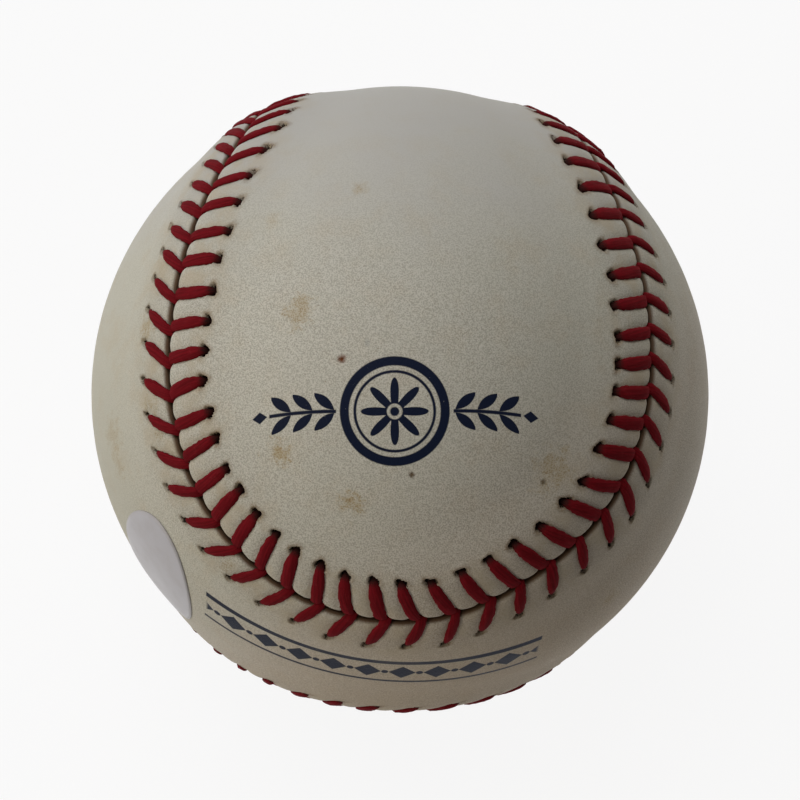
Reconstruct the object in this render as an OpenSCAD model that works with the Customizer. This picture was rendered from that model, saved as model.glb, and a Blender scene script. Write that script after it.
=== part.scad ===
// Baseball with a wound core, two figure-eight leather panels and a raised stitched seam.
// Millimetres. X is right, Y is back, Z is up, and the origin is the centre of the ball.
// The ball lies on the smooth lower lobe of the back panel.

/* [Core] */
// Diameter of the cork and rubber composition ball at the centre
cork_d = 20.6; // [16:0.2:24]
// Wall of the two black rubber half shells
black_rubber_wall = 3.6; // [2.5:0.1:5]
// Thickness of the red rubber washer that seals the black halves
washer_t = 1.2; // [0.6:0.1:2.4]
// Wall of the red rubber jacket moulded round the black halves
red_rubber_wall = 3.45; // [2.5:0.05:5]

/* [Windings] */
// Depth of the first winding, of four-ply grey wool
inner_grey_depth = 13.7; // [11:0.1:15]
// Depth of the second winding, of three-ply white wool
white_depth = 1.7; // [1:0.1:3]
// Depth of the third winding, of three-ply grey wool
outer_grey_depth = 2.2; // [1:0.1:3.5]
// Depth of the last winding, of fine white cotton blend
finishing_depth = 0.5; // [0.3:0.1:1]
// Thickness of the dried cement that holds the cover
cement_t = 0.12; // [0.08:0.02:0.3]

/* [Cover] */
// Thickness of the leather
leather_t = 1.27; // [1.1:0.01:1.5]
// Space between the cut edges of the two panels
edge_gap = 0.9; // [0.8:0.05:1.4]
// Height by which the cut edges roll down beside the seam
edge_roll = 0.35; // [0.1:0.05:0.6]
// Distance from the seam line at which the raised leather is level with the ball again
ramp_reach = 9.2; // [8.4:0.1:9.2]

/* [Stitches] */
// Number of double stitches round the ball
stitch_count = 108; // [88:4:120]
// Distance from the seam line to the centres of the awl holes
hole_reach = 5.05; // [4.4:0.05:5.6]
// Length of an awl hole across the seam
hole_l = 1.1; // [1:0.05:1.3]
// Width of an awl hole along the seam
hole_w = 1.8; // [1.6:0.05:2]
// Width of the flattened waxed thread on top of the leather
thread_w = 1.45; // [1.2:0.05:1.6]
// Width of the thread where it squeezes through a hole
thread_neck_w = 0.8; // [0.6:0.05:0.9]
// Width of the thread where it dives into the seam
thread_entry_w = 1; // [0.7:0.05:1.1]
// Thickness of the flattened thread
thread_t = 0.5; // [0.35:0.05:0.6]
// Space left round the thread
thread_clear = 0.1; // [0.06:0.01:0.15]

/* [Label] */
// Width of the oval blank label
label_w = 12.3; // [8:0.1:12.5]
// Length of the oval blank label
label_l = 21; // [13:0.5:21]
// Thickness of the label
label_t = 0.12; // [0.08:0.01:0.2]
// Turn of the label round the ball, from the right towards the back
label_azimuth = 223.4; // [222.6:0.2:225]
// Height of the label above the ball's middle, as an angle
label_elevation = 0.3; // [-0.1:0.1:0.6]
// Angle by which the label's length leans from upright
label_lean = 5; // [3:1:6]

/* [Hidden] */
$fn = 96;

// Space left between one layer and the next
layer_gap = 0.05;
// Length by which a cut runs past what it cuts
overrun = 1;

// Share of the seam curve that bends it from a great circle into the figure-eight outline
bend_share = 0.465;
// Share of the seam curve that squares the ends of the two lobes
square_share = 0.0167;
// Stitches from the seam's right rear crossing to the first stitch
first_stitch_share = 45.83;
// Distances by which the holes lie behind a stitch's point, in stitch pitches
back_hole_share = 0.4;
front_hole_share = 0.54;
// Distances by which the thread enters the seam behind that point, in stitch pitches
back_entry_share = 0.1;
front_entry_share = -0.3;
// Step along the seam from which its direction is worked out, as a share of its length
seam_step_share = 0.0005;
// Number of facets across a panel from one raised edge to the other
panel_strips = 6;

cork_r = cork_d / 2;
black_r = cork_r + layer_gap + black_rubber_wall;
jacket_r = black_r + layer_gap + red_rubber_wall;
inner_grey_r = jacket_r + layer_gap + inner_grey_depth;
white_r = inner_grey_r + layer_gap + white_depth;
outer_grey_r = white_r + layer_gap + outer_grey_depth;
finishing_r = outer_grey_r + layer_gap + finishing_depth;
cement_r = finishing_r + layer_gap + cement_t;
leather_in_r = cement_r + layer_gap;
ball_r = leather_in_r + leather_t;

// The thread that runs under the leather lifts it into the raised seam.
pitch = 11.08 * ball_r / stitch_count;
run_l = norm([hole_reach, pitch * (1 - back_hole_share)]);
run_sag = run_l * run_l / (8 * cement_r);
seam_lift = thread_t + run_sag + 2 * thread_clear;
run_r = cement_r + thread_clear / 2 + run_sag + thread_t / 2;
raised_r = ball_r + seam_lift;
raised_in_r = leather_in_r + seam_lift;
edge_r = raised_r - edge_roll;
ramp_in_r = leather_in_r - seam_lift / 2;
over_hole_r = raised_r + thread_clear + thread_t / 2;
over_gap_r = edge_r + 2 * thread_clear + thread_t / 2;
over_middle_r = (over_hole_r + over_gap_r) / 2 + run_sag;
hole_near = hole_reach - hole_l / 2;
hole_far = hole_reach + hole_l / 2;
hole_half_share = hole_w / 2 / pitch;
neck_reach = hole_far - thread_clear - thread_t / 2;

// Weights of the seam curve's first and third harmonics, and of the wave across them
first_share = 1 / (1 + bend_share);
third_share = bend_share * first_share;
cross_share = first_share * third_share;
// Shift that spaces the stitches evenly along the curve, in degrees
even_shift = 180 / PI * cross_share
    / (4 * (first_share * first_share + 9 * third_share * third_share + 8 * cross_share));

function unit(v) = v / norm(v);

// Direction from the ball's centre to the seam, u going from 0 to 1 once round it
function seam(u) =
    let (t = 360 * u + even_shift * sin(4 * 360 * u))
    unit([
        first_share * cos(t) - third_share * cos(3 * t) + square_share * cos(5 * t),
        2 * sqrt(cross_share) * cos(2 * t),
        first_share * sin(t) + third_share * sin(3 * t) + square_share * sin(5 * t)
    ]);

// Direction along the seam
function seam_along(u) = unit(seam(u + seam_step_share) - seam(u - seam_step_share));

// Direction square to the seam, towards the front panel
function seam_across(u) = unit(cross(seam(u), seam_along(u)));

// Point beside the seam: s is the distance from it along the ball, r the distance from the centre
function spot(u, s, r) =
    let (turn = s / ball_r * 180 / PI)
    r * (seam(u) * cos(turn) + seam_across(u) * sin(turn));

// Direction at share f of the arc between two directions
function arc_between(a, b, f) =
    let (span = acos(a * b))
    unit(a * sin((1 - f) * span) + b * sin(f * span));

function wrap(j) = (j % stitch_count + stitch_count) % stitch_count;

// Two triangles that fill four corners, clockwise as seen from outside
function quad(a, b, c, d) = [[a, b, c], [a, c, d]];

module shell(outer_r, inner_r) {
    difference() {
        sphere(r = outer_r);
        sphere(r = inner_r);
    }
}

// The half of a black rubber shell that lies above the washer
module half_shell() {
    lift = washer_t / 2 + layer_gap;
    difference() {
        intersection() {
            sphere(r = black_r);
            translate([0, 0, lift + black_r]) cube(2 * black_r, center = true);
        }
        sphere(r = cork_r + layer_gap);
    }
}

// One figure-eight panel in the place of the back panel, its holes starting at a share of a pitch
module cover_panel(start_share) {
    n = stitch_count;
    us = [for (j = [0:n - 1]) (j + start_share) / n];
    rim = [for (u = us) spot(u, -ramp_reach, 1)];
    // Rows run across the panel between points that mirror each other, from tip to tip.
    pair_sum = 2 * floor((n / 2 - 2 * start_share) / 2) + 1;
    first_row = (pair_sum + 1) / 2;
    rows = n / 2;
    mid = panel_strips / 2;
    points = concat(
        [for (u = us) spot(u, -edge_gap / 2, edge_r)],
        [for (u = us) spot(u, -hole_near, raised_r)],
        [for (u = us) spot(u - hole_half_share / n, -hole_far, raised_r)],
        [for (u = us) spot(u + hole_half_share / n, -hole_far, raised_r)],
        [for (u = us) spot(u, -ramp_reach, ball_r)],
        [for (u = us) spot(u, -edge_gap / 2, raised_in_r)],
        [for (u = us) spot(u, -hole_near, raised_in_r)],
        [for (u = us) spot(u - hole_half_share / n, -hole_far, raised_in_r)],
        [for (u = us) spot(u + hole_half_share / n, -hole_far, raised_in_r)],
        [for (u = us) spot(u, -ramp_reach, ramp_in_r)],
        [[0, 0, 0]],
        [for (row = [1:rows - 2], k = [1:panel_strips - 1])
            ball_r * arc_between(rim[wrap(first_row + row)], rim[wrap(pair_sum - first_row - row)],
                k / panel_strips)]
    );
    function at(ring, j) = ring * n + wrap(j);
    function dome(row, k) =
        k == 0 ? at(4, first_row + row)
        : k == panel_strips ? at(4, pair_sum - first_row - row)
        : 10 * n + 1 + (row - 1) * (panel_strips - 1) + k - 1;
    function top(j) = concat(
        quad(at(0, j), at(0, j + 1), at(1, j + 1), at(1, j)),
        quad(at(1, j), at(1, j + 1), at(2, j + 1), at(3, j)),
        [[at(2, j), at(3, j), at(4, j)]],
        quad(at(3, j), at(2, j + 1), at(4, j + 1), at(4, j))
    );
    function underside(j) = concat(
        quad(at(5, j), at(6, j), at(6, j + 1), at(5, j + 1)),
        quad(at(6, j), at(8, j), at(7, j + 1), at(6, j + 1)),
        [[at(7, j), at(9, j), at(8, j)]],
        quad(at(8, j), at(9, j), at(9, j + 1), at(7, j + 1)),
        [[at(9, j + 1), at(9, j), 10 * n]]
    );
    function cut_edges(j) = concat(
        quad(at(0, j + 1), at(0, j), at(5, j), at(5, j + 1)),
        quad(at(2, j), at(1, j), at(6, j), at(7, j)),
        quad(at(3, j), at(2, j), at(7, j), at(8, j)),
        quad(at(1, j), at(3, j), at(8, j), at(6, j))
    );
    last = rows - 1;
    faces = concat(
        [for (j = [0:n - 1], f = concat(top(j), underside(j), cut_edges(j))) f],
        [for (row = [1:rows - 3], k = [0:panel_strips - 1], f = quad(
            dome(row, k), dome(row + 1, k), dome(row + 1, k + 1), dome(row, k + 1))) f],
        [for (k = [0:panel_strips - 1])
            [dome(0, k < mid ? 0 : panel_strips), dome(1, k), dome(1, k + 1)]],
        [[dome(0, 0), dome(1, mid), dome(0, panel_strips)]],
        [for (k = [0:panel_strips - 1])
            [dome(last, k < mid ? 0 : panel_strips), dome(last - 1, k + 1), dome(last - 1, k)]],
        [[dome(last, 0), dome(last, panel_strips), dome(last - 1, mid)]]
    );
    difference() {
        polyhedron(points = points, faces = faces, convexity = 6);
        sphere(r = leather_in_r);
    }
}

// Four corners of the thread's flat section; tilt is the angle of its thickness from outwards
function section(u, s, r, w, tilt, side, turn_over) =
    let (
        out = seam(u) * cos(s / ball_r * 180 / PI) + seam_across(u) * sin(s / ball_r * 180 / PI),
        away = unit(cross(out, seam_along(u))) * side,
        half_w = seam_along(u) * w / 2 * turn_over * side,
        half_t = (out * cos(tilt) + away * sin(tilt)) / abs(cos(tilt)) * thread_t / 2 * turn_over,
        c = out * r
    )
    [c + half_w, c + half_t, c - half_w, c - half_t];

// Sections of one arm of a stitch: up through its hole, over the leather and down into the seam
function arm(k, first_side) =
    let (
        side = (k % 2 == 0 ? 1 : -1) * first_side,
        turn_over = k % 2 == 0 ? 1 : -1,
        hole_share = side < 0 ? back_hole_share : front_hole_share,
        entry_share = side < 0 ? back_entry_share : front_entry_share,
        u_hole = (first_stitch_share - k + hole_share) / stitch_count,
        u_entry = (first_stitch_share - k + entry_share) / stitch_count
    )
    concat(
        section(u_hole, side * neck_reach, run_r, thread_neck_w, 135, side, turn_over),
        section(u_hole, side * neck_reach, over_hole_r, thread_neck_w, 45, side, turn_over),
        section((u_hole + u_entry) / 2, side * neck_reach / 2, over_middle_r, thread_w, 0, side, turn_over),
        section(u_entry, 0, over_gap_r, thread_entry_w, -45, side, turn_over),
        section(u_entry, 0, run_r, thread_neck_w, -45, side, turn_over)
    );

// One needle's unbroken run of thread, which takes the panels in turn
module needle_thread(first_side) {
    n = stitch_count;
    rings = 5 * n;
    points = [for (k = [0:n - 1], p = arm(k, first_side)) p];
    faces = [for (ring = [0:rings - 1], i = [0:3], f = quad(
        4 * ring + i, 4 * ((ring + 1) % rings) + i,
        4 * ((ring + 1) % rings) + (i + 1) % 4, 4 * ring + (i + 1) % 4)) f];
    polyhedron(points = points, faces = faces, convexity = 10);
}

module cork_core() color("peru") sphere(r = cork_r);
module lower_rubber_shell() color("#26241f") mirror([0, 0, 1]) half_shell();
module upper_rubber_shell() color("#26241f") half_shell();

module rubber_washer() {
    color("firebrick") intersection() {
        shell(black_r, cork_r + layer_gap);
        cube([2 * black_r + overrun, 2 * black_r + overrun, washer_t], center = true);
    }
}

module rubber_jacket() color("brown") shell(jacket_r, black_r + layer_gap);
module inner_grey_winding() color("slategray") shell(inner_grey_r, jacket_r + layer_gap);
module white_winding() color("gainsboro") shell(white_r, inner_grey_r + layer_gap);
module outer_grey_winding() color("gray") shell(outer_grey_r, white_r + layer_gap);
module finishing_winding() color("whitesmoke") shell(finishing_r, outer_grey_r + layer_gap);
module cement_coat() color("wheat") shell(cement_r, finishing_r + layer_gap);

module back_cover_panel() {
    color("#d9d4c8") cover_panel(first_stitch_share + back_hole_share);
}

// The two panels are the same shape: a half turn about the slanting axis swaps them.
module front_cover_panel() {
    color("#d9d4c8") rotate(180, [1, 0, 1])
        cover_panel(stitch_count / 4 - first_stitch_share - front_hole_share);
}

module first_needle_thread() color("#9a1f26") needle_thread(-1);
module second_needle_thread() color("#9a1f26") needle_thread(1);

// The label lies on the smooth leather and stops short of where that rises to the seam.
module blank_label() {
    color("#e4e0df") difference() {
        intersection() {
            shell(ball_r + layer_gap + label_t, ball_r + layer_gap);
            rotate([0, 90 - label_elevation, label_azimuth])
                rotate(label_lean)
                    scale([label_l / label_w, 1, 1])
                        cylinder(h = ball_r + label_t + overrun, d = label_w);
        }
        scale(1 + layer_gap / 2 / ball_r) front_cover_panel();
    }
}

cork_core();
lower_rubber_shell();
upper_rubber_shell();
rubber_washer();
rubber_jacket();
inner_grey_winding();
white_winding();
outer_grey_winding();
finishing_winding();
cement_coat();
back_cover_panel();
front_cover_panel();
first_needle_thread();
second_needle_thread();
blank_label();
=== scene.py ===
"""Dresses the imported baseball: leather panels, sewn thread, blank label, printed ornament and studio."""
import logging
import math
from dataclasses import dataclass, field
from enum import Enum
from typing import Callable, Sequence

import bmesh
import bpy
import numpy as np
from mathutils import Matrix, Vector


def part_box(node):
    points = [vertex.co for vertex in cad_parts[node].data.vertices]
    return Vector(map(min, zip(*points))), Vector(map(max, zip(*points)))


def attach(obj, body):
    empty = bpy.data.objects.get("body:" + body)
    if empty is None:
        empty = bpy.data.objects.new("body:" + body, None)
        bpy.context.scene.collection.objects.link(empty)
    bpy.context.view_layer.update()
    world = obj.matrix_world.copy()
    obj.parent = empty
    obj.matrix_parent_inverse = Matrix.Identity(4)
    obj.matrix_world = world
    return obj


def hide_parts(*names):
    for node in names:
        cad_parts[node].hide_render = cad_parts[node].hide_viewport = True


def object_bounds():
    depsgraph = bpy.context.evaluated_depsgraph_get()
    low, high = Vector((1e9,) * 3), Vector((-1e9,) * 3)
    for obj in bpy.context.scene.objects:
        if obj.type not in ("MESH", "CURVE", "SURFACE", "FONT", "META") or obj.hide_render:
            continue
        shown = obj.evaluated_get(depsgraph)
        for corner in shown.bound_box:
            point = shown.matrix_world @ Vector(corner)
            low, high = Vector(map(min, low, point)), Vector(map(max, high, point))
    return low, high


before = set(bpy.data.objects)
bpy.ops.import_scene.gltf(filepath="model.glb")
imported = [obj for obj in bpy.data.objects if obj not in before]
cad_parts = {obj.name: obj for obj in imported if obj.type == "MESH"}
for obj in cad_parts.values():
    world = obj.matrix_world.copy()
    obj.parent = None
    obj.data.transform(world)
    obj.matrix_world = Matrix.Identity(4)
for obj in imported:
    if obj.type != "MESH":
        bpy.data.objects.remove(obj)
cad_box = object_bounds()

log = logging.getLogger("baseball")
logging.basicConfig(level=logging.INFO, format="%(message)s")

MM = 0.001
WELD = 2e-6
STITCH_COUNT = 108
LEATHER_T = 1.27 * MM
LEATHER_GAP = 0.05 * MM
THREAD_LIFT = 0.42 * MM
Rgb = tuple[float, float, float]
Span = tuple[float, float]
Way = tuple[float, float, float]
Placed = tuple[np.ndarray, dict[str, np.ndarray]]
Placing = Callable[[np.ndarray, np.ndarray], Placed]


def srgb(red: int, green: int, blue: int) -> Rgb:
    """Turns a display colour into the linear one that shaders take.

    Args:
        red: red from 0 to 255.
        green: green from 0 to 255.
        blue: blue from 0 to 255.

    Returns:
        The linear colour.
    """
    shares = [channel / 255 for channel in (red, green, blue)]
    return tuple(c / 12.92 if c <= 0.04045 else ((c + 0.055) / 1.055) ** 2.4 for c in shares)


def smooth(low: float, high: float, value: np.ndarray) -> np.ndarray:
    """Rises smoothly from 0 at low to 1 at high.

    Args:
        low: value at which the rise starts.
        high: value at which it ends.
        value: values to look up.

    Returns:
        The smoothed step for each value.
    """
    share = np.clip((value - low) / (high - low), 0, 1)
    return share * share * (3 - 2 * share)


def bearings(azimuth: float, elevation: float) -> tuple[np.ndarray, np.ndarray, np.ndarray]:
    """Directions at a place on the ball.

    Args:
        azimuth: degrees round the ball, from its right side towards its back.
        elevation: degrees above its equator.

    Returns:
        The directions out of the ball, to the right for someone who looks at it, and up.
    """
    turn, lift = math.radians(azimuth), math.radians(elevation)
    flat = math.cos(lift)
    out = np.array([flat * math.cos(turn), flat * math.sin(turn), math.sin(lift)])
    right = np.array([-math.sin(turn), math.cos(turn), 0.0])
    return out, right, np.cross(out, right)


class Side(Enum):
    """The two leather panels, by the side of the seam on which each lies."""

    BACK = -1
    FRONT = 1


class Sock:
    """A shader socket whose operators add Math nodes."""

    def __init__(self, shader: "Shader", socket: bpy.types.NodeSocket) -> None:
        """Keeps the shader and the socket that it wraps."""
        self.shader = shader
        self.socket = socket

    def _math(self, operation: str, *values: object) -> "Sock":
        """Adds one Math node on the values."""
        return self.shader.node("ShaderNodeMath", {"operation": operation}, dict(enumerate(values)))

    def __add__(self, other: object) -> "Sock":
        """Sum."""
        return self._math("ADD", self, other)

    __radd__ = __add__

    def __sub__(self, other: object) -> "Sock":
        """Difference."""
        return self._math("SUBTRACT", self, other)

    def __rsub__(self, other: object) -> "Sock":
        """Difference from a number."""
        return self._math("SUBTRACT", other, self)

    def __mul__(self, other: object) -> "Sock":
        """Product."""
        return self._math("MULTIPLY", self, other)

    __rmul__ = __mul__

    def __truediv__(self, other: object) -> "Sock":
        """Quotient."""
        return self._math("DIVIDE", self, other)

    def __pow__(self, other: object) -> "Sock":
        """Power."""
        return self._math("POWER", self, other)

    def __abs__(self) -> "Sock":
        """Size without its sign."""
        return self._math("ABSOLUTE", self)

    def least(self, other: object) -> "Sock":
        """The smaller of two values."""
        return self._math("MINIMUM", self, other)

    def most(self, other: object) -> "Sock":
        """The larger of two values."""
        return self._math("MAXIMUM", self, other)

    def rise(self, low: float, high: float) -> "Sock":
        """Rises smoothly from 0 at low to 1 at high, or falls if high is the smaller.

        Args:
            low: value at which the result is 0.
            high: value at which it is 1.

        Returns:
            The smoothed step.
        """
        turned = low > high
        ends = (high, low) if turned else (low, high)
        outs = (1.0, 0.0) if turned else (0.0, 1.0)
        values = {"Value": self, 1: ends[0], 2: ends[1], 3: outs[0], 4: outs[1]}
        return self.shader.node("ShaderNodeMapRange", {"interpolation_type": "SMOOTHSTEP"}, values)


class Shader:
    """The nodes of a material or of the world."""

    def __init__(self, tree: bpy.types.NodeTree, output: str) -> None:
        """Empties a node tree and gives it an output.

        Args:
            tree: the nodes.
            output: type of the output node.
        """
        self.tree = tree
        self.tree.nodes.clear()
        self.output = self.tree.nodes.new(output)

    def _set(self, socket: bpy.types.NodeSocket, value: object) -> None:
        """Links a wrapped socket or writes a plain value.

        Args:
            socket: the input that takes it.
            value: a wrapped socket, a colour or a number.
        """
        if isinstance(value, Sock):
            self.tree.links.new(value.socket, socket)
        elif isinstance(value, (tuple, list)) and len(value) == 3 and socket.type == "RGBA":
            socket.default_value = (*value, 1.0)
        else:
            socket.default_value = value

    def node(self, kind: str, settings: dict | None = None, inputs: dict | None = None,
             out: int | str = 0) -> Sock:
        """Adds a node.

        Args:
            kind: type of the node.
            settings: its settings.
            inputs: values or links by socket name or number.
            out: the output that is wanted.

        Returns:
            The wrapped output.
        """
        node = self.tree.nodes.new(kind)
        for key, value in (settings or {}).items():
            setattr(node, key, value)
        for key, value in (inputs or {}).items():
            self._set(node.inputs[key], value)
        return Sock(self, node.outputs[out])

    def show(self, surface: Sock) -> None:
        """Links what the material or the world shows."""
        self._set(self.output.inputs["Surface"], surface)

    def object_point(self) -> Sock:
        """The point on the object, in metres."""
        return self.node("ShaderNodeTexCoord", out="Object")

    def attribute(self, name: str) -> Sock:
        """A number that the mesh carries."""
        return self.node("ShaderNodeAttribute", {"attribute_name": name}, out="Fac")

    def dot(self, vector: Sock, axis: Sequence[float]) -> Sock:
        """Length of a vector along an axis."""
        inputs = {0: vector, 1: tuple(axis)}
        return self.node("ShaderNodeVectorMath", {"operation": "DOT_PRODUCT"}, inputs, "Value")

    def away_from(self, vector: Sock, point: Sequence[float]) -> Sock:
        """Distance of a vector from a point."""
        inputs = {0: vector, 1: tuple(point)}
        return self.node("ShaderNodeVectorMath", {"operation": "DISTANCE"}, inputs, "Value")

    def noise(self, vector: Sock, size: float, detail: float, rough: float = 0.5) -> Sock:
        """Cloudy noise whose blotches are about size metres wide."""
        inputs = {"Vector": vector, "Scale": 1 / size, "Detail": detail, "Roughness": rough}
        return self.node("ShaderNodeTexNoise", {}, inputs)

    def cells(self, vector: Sock, size: float) -> Sock:
        """Distances from the middles of cells about size metres wide."""
        return self.node("ShaderNodeTexVoronoi", {}, {"Vector": vector, "Scale": 1 / size}, "Distance")

    def mix(self, share: object, first: object, second: object) -> Sock:
        """Mixes two colours, by the second one's share."""
        settings = {"data_type": "RGBA", "clamp_factor": True}
        return self.node("ShaderNodeMix", settings, {0: share, 6: first, 7: second}, 2)

    def bump(self, height: Sock, depth: float, strength: float, normal: Sock | None = None) -> Sock:
        """Turns a height from 0 to 1 into a bumped normal.

        Args:
            height: the height.
            depth: how deep it is, in metres.
            strength: how strongly it shows, from 0 to 1.
            normal: an earlier bump to add to.

        Returns:
            The normal.
        """
        inputs = {"Strength": strength, "Distance": depth, "Height": height}
        if normal is not None:
            inputs["Normal"] = normal
        return self.node("ShaderNodeBump", {}, inputs)


class Surface(Shader):
    """A material with one Principled surface."""

    def __init__(self, name: str) -> None:
        """Starts the material.

        Args:
            name: its name.
        """
        self.material = bpy.data.materials.new(name)
        self.material.use_nodes = True
        super().__init__(self.material.node_tree, "ShaderNodeOutputMaterial")
        self.principled = self.tree.nodes.new("ShaderNodeBsdfPrincipled")
        self.lit = Sock(self, self.principled.outputs[0])
        self.show(self.lit)

    def dress(self, **values: object) -> bpy.types.Material:
        """Sets the surface's sockets.

        Args:
            values: values or links by socket name, with _ for a space.

        Returns:
            The finished material.
        """
        for key, value in values.items():
            self._set(self.principled.inputs[key.replace("_", " ")], value)
        return self.material


@dataclass(frozen=True)
class Tug:
    """A stretch where the sewer pulled the seam and its stitches a little aside.

    The place and the width are shares of the seam's length, and the pulls are millimetres: of the seam
    across and along itself, of the holes of both panels apart, and of the front arms' inner and outer ends.
    """

    place: float
    width: float
    across: float
    along: float
    splay: float
    front_in: float = 0.0
    front_out: float = 0.0

    def share(self, u: np.ndarray) -> np.ndarray:
        """How strongly the tug acts at places on the seam."""
        away = (u - self.place + 0.5) % 1.0 - 0.5
        return np.exp(-0.5 * (away / self.width) ** 2)


@dataclass
class SeamCurve:
    """The closed figure-eight seam, the same curve that the CAD panels are cut by."""

    ball_r: float
    tugs: tuple[Tug, ...]
    stitch_count: int = STITCH_COUNT
    length_share: float = 11.08
    bend_share: float = 0.465
    square_share: float = 0.0167
    first_stitch_share: float = 45.83
    step_share: float = 0.0005
    table_steps: int = 21600

    @property
    def pitch(self) -> float:
        """Distance from one stitch to the next."""
        return self.length_share * self.ball_r / self.stitch_count

    def drift(self, u: np.ndarray, kind: str) -> np.ndarray:
        """Sum of the tugs of one kind, in metres.

        Args:
            u: places on the seam.
            kind: across, along, splay, front_in or front_out.

        Returns:
            The drift at each place.
        """
        total = np.zeros_like(np.asarray(u, dtype=float))
        for tug in self.tugs:
            total = total + getattr(tug, kind) * MM * tug.share(np.asarray(u, dtype=float))
        return total

    def station(self, u: np.ndarray) -> np.ndarray:
        """Stitch spacings from the start of the seam to places on it."""
        return u * self.stitch_count - self.drift(u, "along") / self.pitch

    def place(self, station: np.ndarray) -> np.ndarray:
        """Places on the seam that lie at numbers of stitch spacings, the reverse of station."""
        u = np.arange(-self.table_steps // 4, self.table_steps * 5 // 4) / self.table_steps
        return np.interp(station % self.stitch_count, self.station(u), u)

    def direction(self, u: np.ndarray) -> np.ndarray:
        """Directions from the ball's centre to the seam.

        Args:
            u: places on the seam, from 0 to 1 once round.

        Returns:
            One unit vector for each place.
        """
        first = 1 / (1 + self.bend_share)
        third = self.bend_share * first
        cross = first * third
        even = cross / (4 * (first * first + 9 * third * third + 8 * cross))
        t = 2 * np.pi * u
        t = t + even * np.sin(4 * t)
        x = first * np.cos(t) - third * np.cos(3 * t) + self.square_share * np.cos(5 * t)
        y = 2 * math.sqrt(cross) * np.cos(2 * t)
        z = first * np.sin(t) + third * np.sin(3 * t) + self.square_share * np.sin(5 * t)
        points = np.stack([x, y, z], axis=-1)
        return points / np.linalg.norm(points, axis=-1, keepdims=True)

    def frame(self, u: np.ndarray) -> tuple[np.ndarray, np.ndarray, np.ndarray]:
        """Directions out of the ball, along the seam and across it towards the front panel.

        Args:
            u: places on the seam.

        Returns:
            The three unit vectors for each place.
        """
        out = self.direction(u)
        along = self.direction(u + self.step_share) - self.direction(u - self.step_share)
        along /= np.linalg.norm(along, axis=-1, keepdims=True)
        across = np.cross(out, along)
        return out, along, across / np.linalg.norm(across, axis=-1, keepdims=True)

    def spot(self, u: np.ndarray, s: np.ndarray, r: np.ndarray) -> np.ndarray:
        """Points beside the seam.

        Args:
            u: places on the seam.
            s: distances from it along the ball, positive on the front panel.
            r: distances from the ball's centre.

        Returns:
            The points.
        """
        out, _, across = self.frame(u)
        turn = np.asarray((s + self.drift(u, "across")) / self.ball_r)[..., None]
        return np.asarray(r)[..., None] * (out * np.cos(turn) + across * np.sin(turn))


@dataclass
class StitchPlan:
    """Where each stitch of one panel enters its hole and the seam, with a hand sewer's spread."""

    seam: SeamCurve
    side: Side
    hole_reach: float
    hole_share: float
    entry_share: float
    arm_w: float
    seed: int
    hole_spread: float = 0.03
    push_spread: float = 0.12 * MM
    entry_spread: float = 0.025
    width_spread: float = 0.05
    bow_spread: float = 0.025
    least_dark: float = 0.6
    overshoot: float = 0.2
    hole_shift: np.ndarray = field(init=False)
    hole_push: np.ndarray = field(init=False)
    entry_shift: np.ndarray = field(init=False)
    width_factor: np.ndarray = field(init=False)
    dark_factor: np.ndarray = field(init=False)
    bow: np.ndarray = field(init=False)

    def __post_init__(self) -> None:
        """Draws the spread of each stitch."""
        rng = np.random.default_rng(self.seed)
        n = self.seam.stitch_count
        u = (self.seam.first_stitch_share - np.arange(n)) / n
        splay = -self.side.value * self.seam.drift(u, "splay") / self.seam.pitch
        self.hole_shift = splay + rng.normal(0, self.hole_spread, n)
        self.hole_push = rng.normal(0, self.push_spread, n)
        self.entry_shift = rng.normal(0, self.entry_spread, n)
        if self.side is Side.FRONT:
            self.hole_shift += self.seam.drift(u, "front_out") / self.seam.pitch
            self.entry_shift += self.seam.drift(u, "front_in") / self.seam.pitch
        self.width_factor = rng.normal(1, self.width_spread, n)
        self.dark_factor = rng.uniform(self.least_dark, 1.0, n)
        self.bow = rng.normal(0, self.bow_spread, n)

    def share_at(self, k: np.ndarray, s: np.ndarray) -> np.ndarray:
        """How far behind the stitch's point its arm lies, in pitches.

        Args:
            k: numbers of the stitches.
            s: distances from the seam, on this side.

        Returns:
            The shares of a pitch.
        """
        hole = self.hole_share + self.hole_shift[k]
        entry = self.entry_share + self.entry_shift[k]
        reach = np.clip(s / (self.hole_reach + self.hole_push[k]), -self.overshoot, 1 + self.overshoot)
        return entry + (hole - entry) * reach + self.bow[k] * np.sin(np.pi * np.clip(reach, 0, 1))

    def beside(self, u: np.ndarray, s: np.ndarray) -> tuple[np.ndarray, np.ndarray]:
        """The nearest arm to each point and the distance from it along the seam.

        Args:
            u: places on the seam.
            s: distances from the seam, on this side.

        Returns:
            The stitch numbers and the signed distances in metres.
        """
        seam = self.seam
        station = seam.station(u)
        n = seam.stitch_count
        reach = np.clip(s / self.hole_reach, 0, 1 + self.overshoot)
        middle = self.entry_share + (self.hole_share - self.entry_share) * reach
        guess = np.rint(seam.first_stitch_share + middle - station).astype(int)
        best_k, best = guess % n, np.full(len(guess), np.inf)
        for step in (-1, 0, 1):
            k = guess + step
            away = station - (seam.first_stitch_share + self.share_at(k % n, s) - k)
            nearer = np.abs(away) < np.abs(best)
            best = np.where(nearer, away, best)
            best_k = np.where(nearer, k % n, best_k)
        return best_k, best * seam.pitch


@dataclass(frozen=True)
class Stain:
    """One small mark on the leather, placed in degrees, with its radius in millimetres."""

    azimuth: float
    elevation: float
    radius: float
    strength: float
    tone: Rgb = srgb(140, 102, 52)
    wash: Rgb = srgb(181, 165, 128)

    def point(self, ball_r: float) -> Vector:
        """The mark's centre on the ball."""
        return ball_r * Vector(bearings(self.azimuth, self.elevation)[0])


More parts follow.
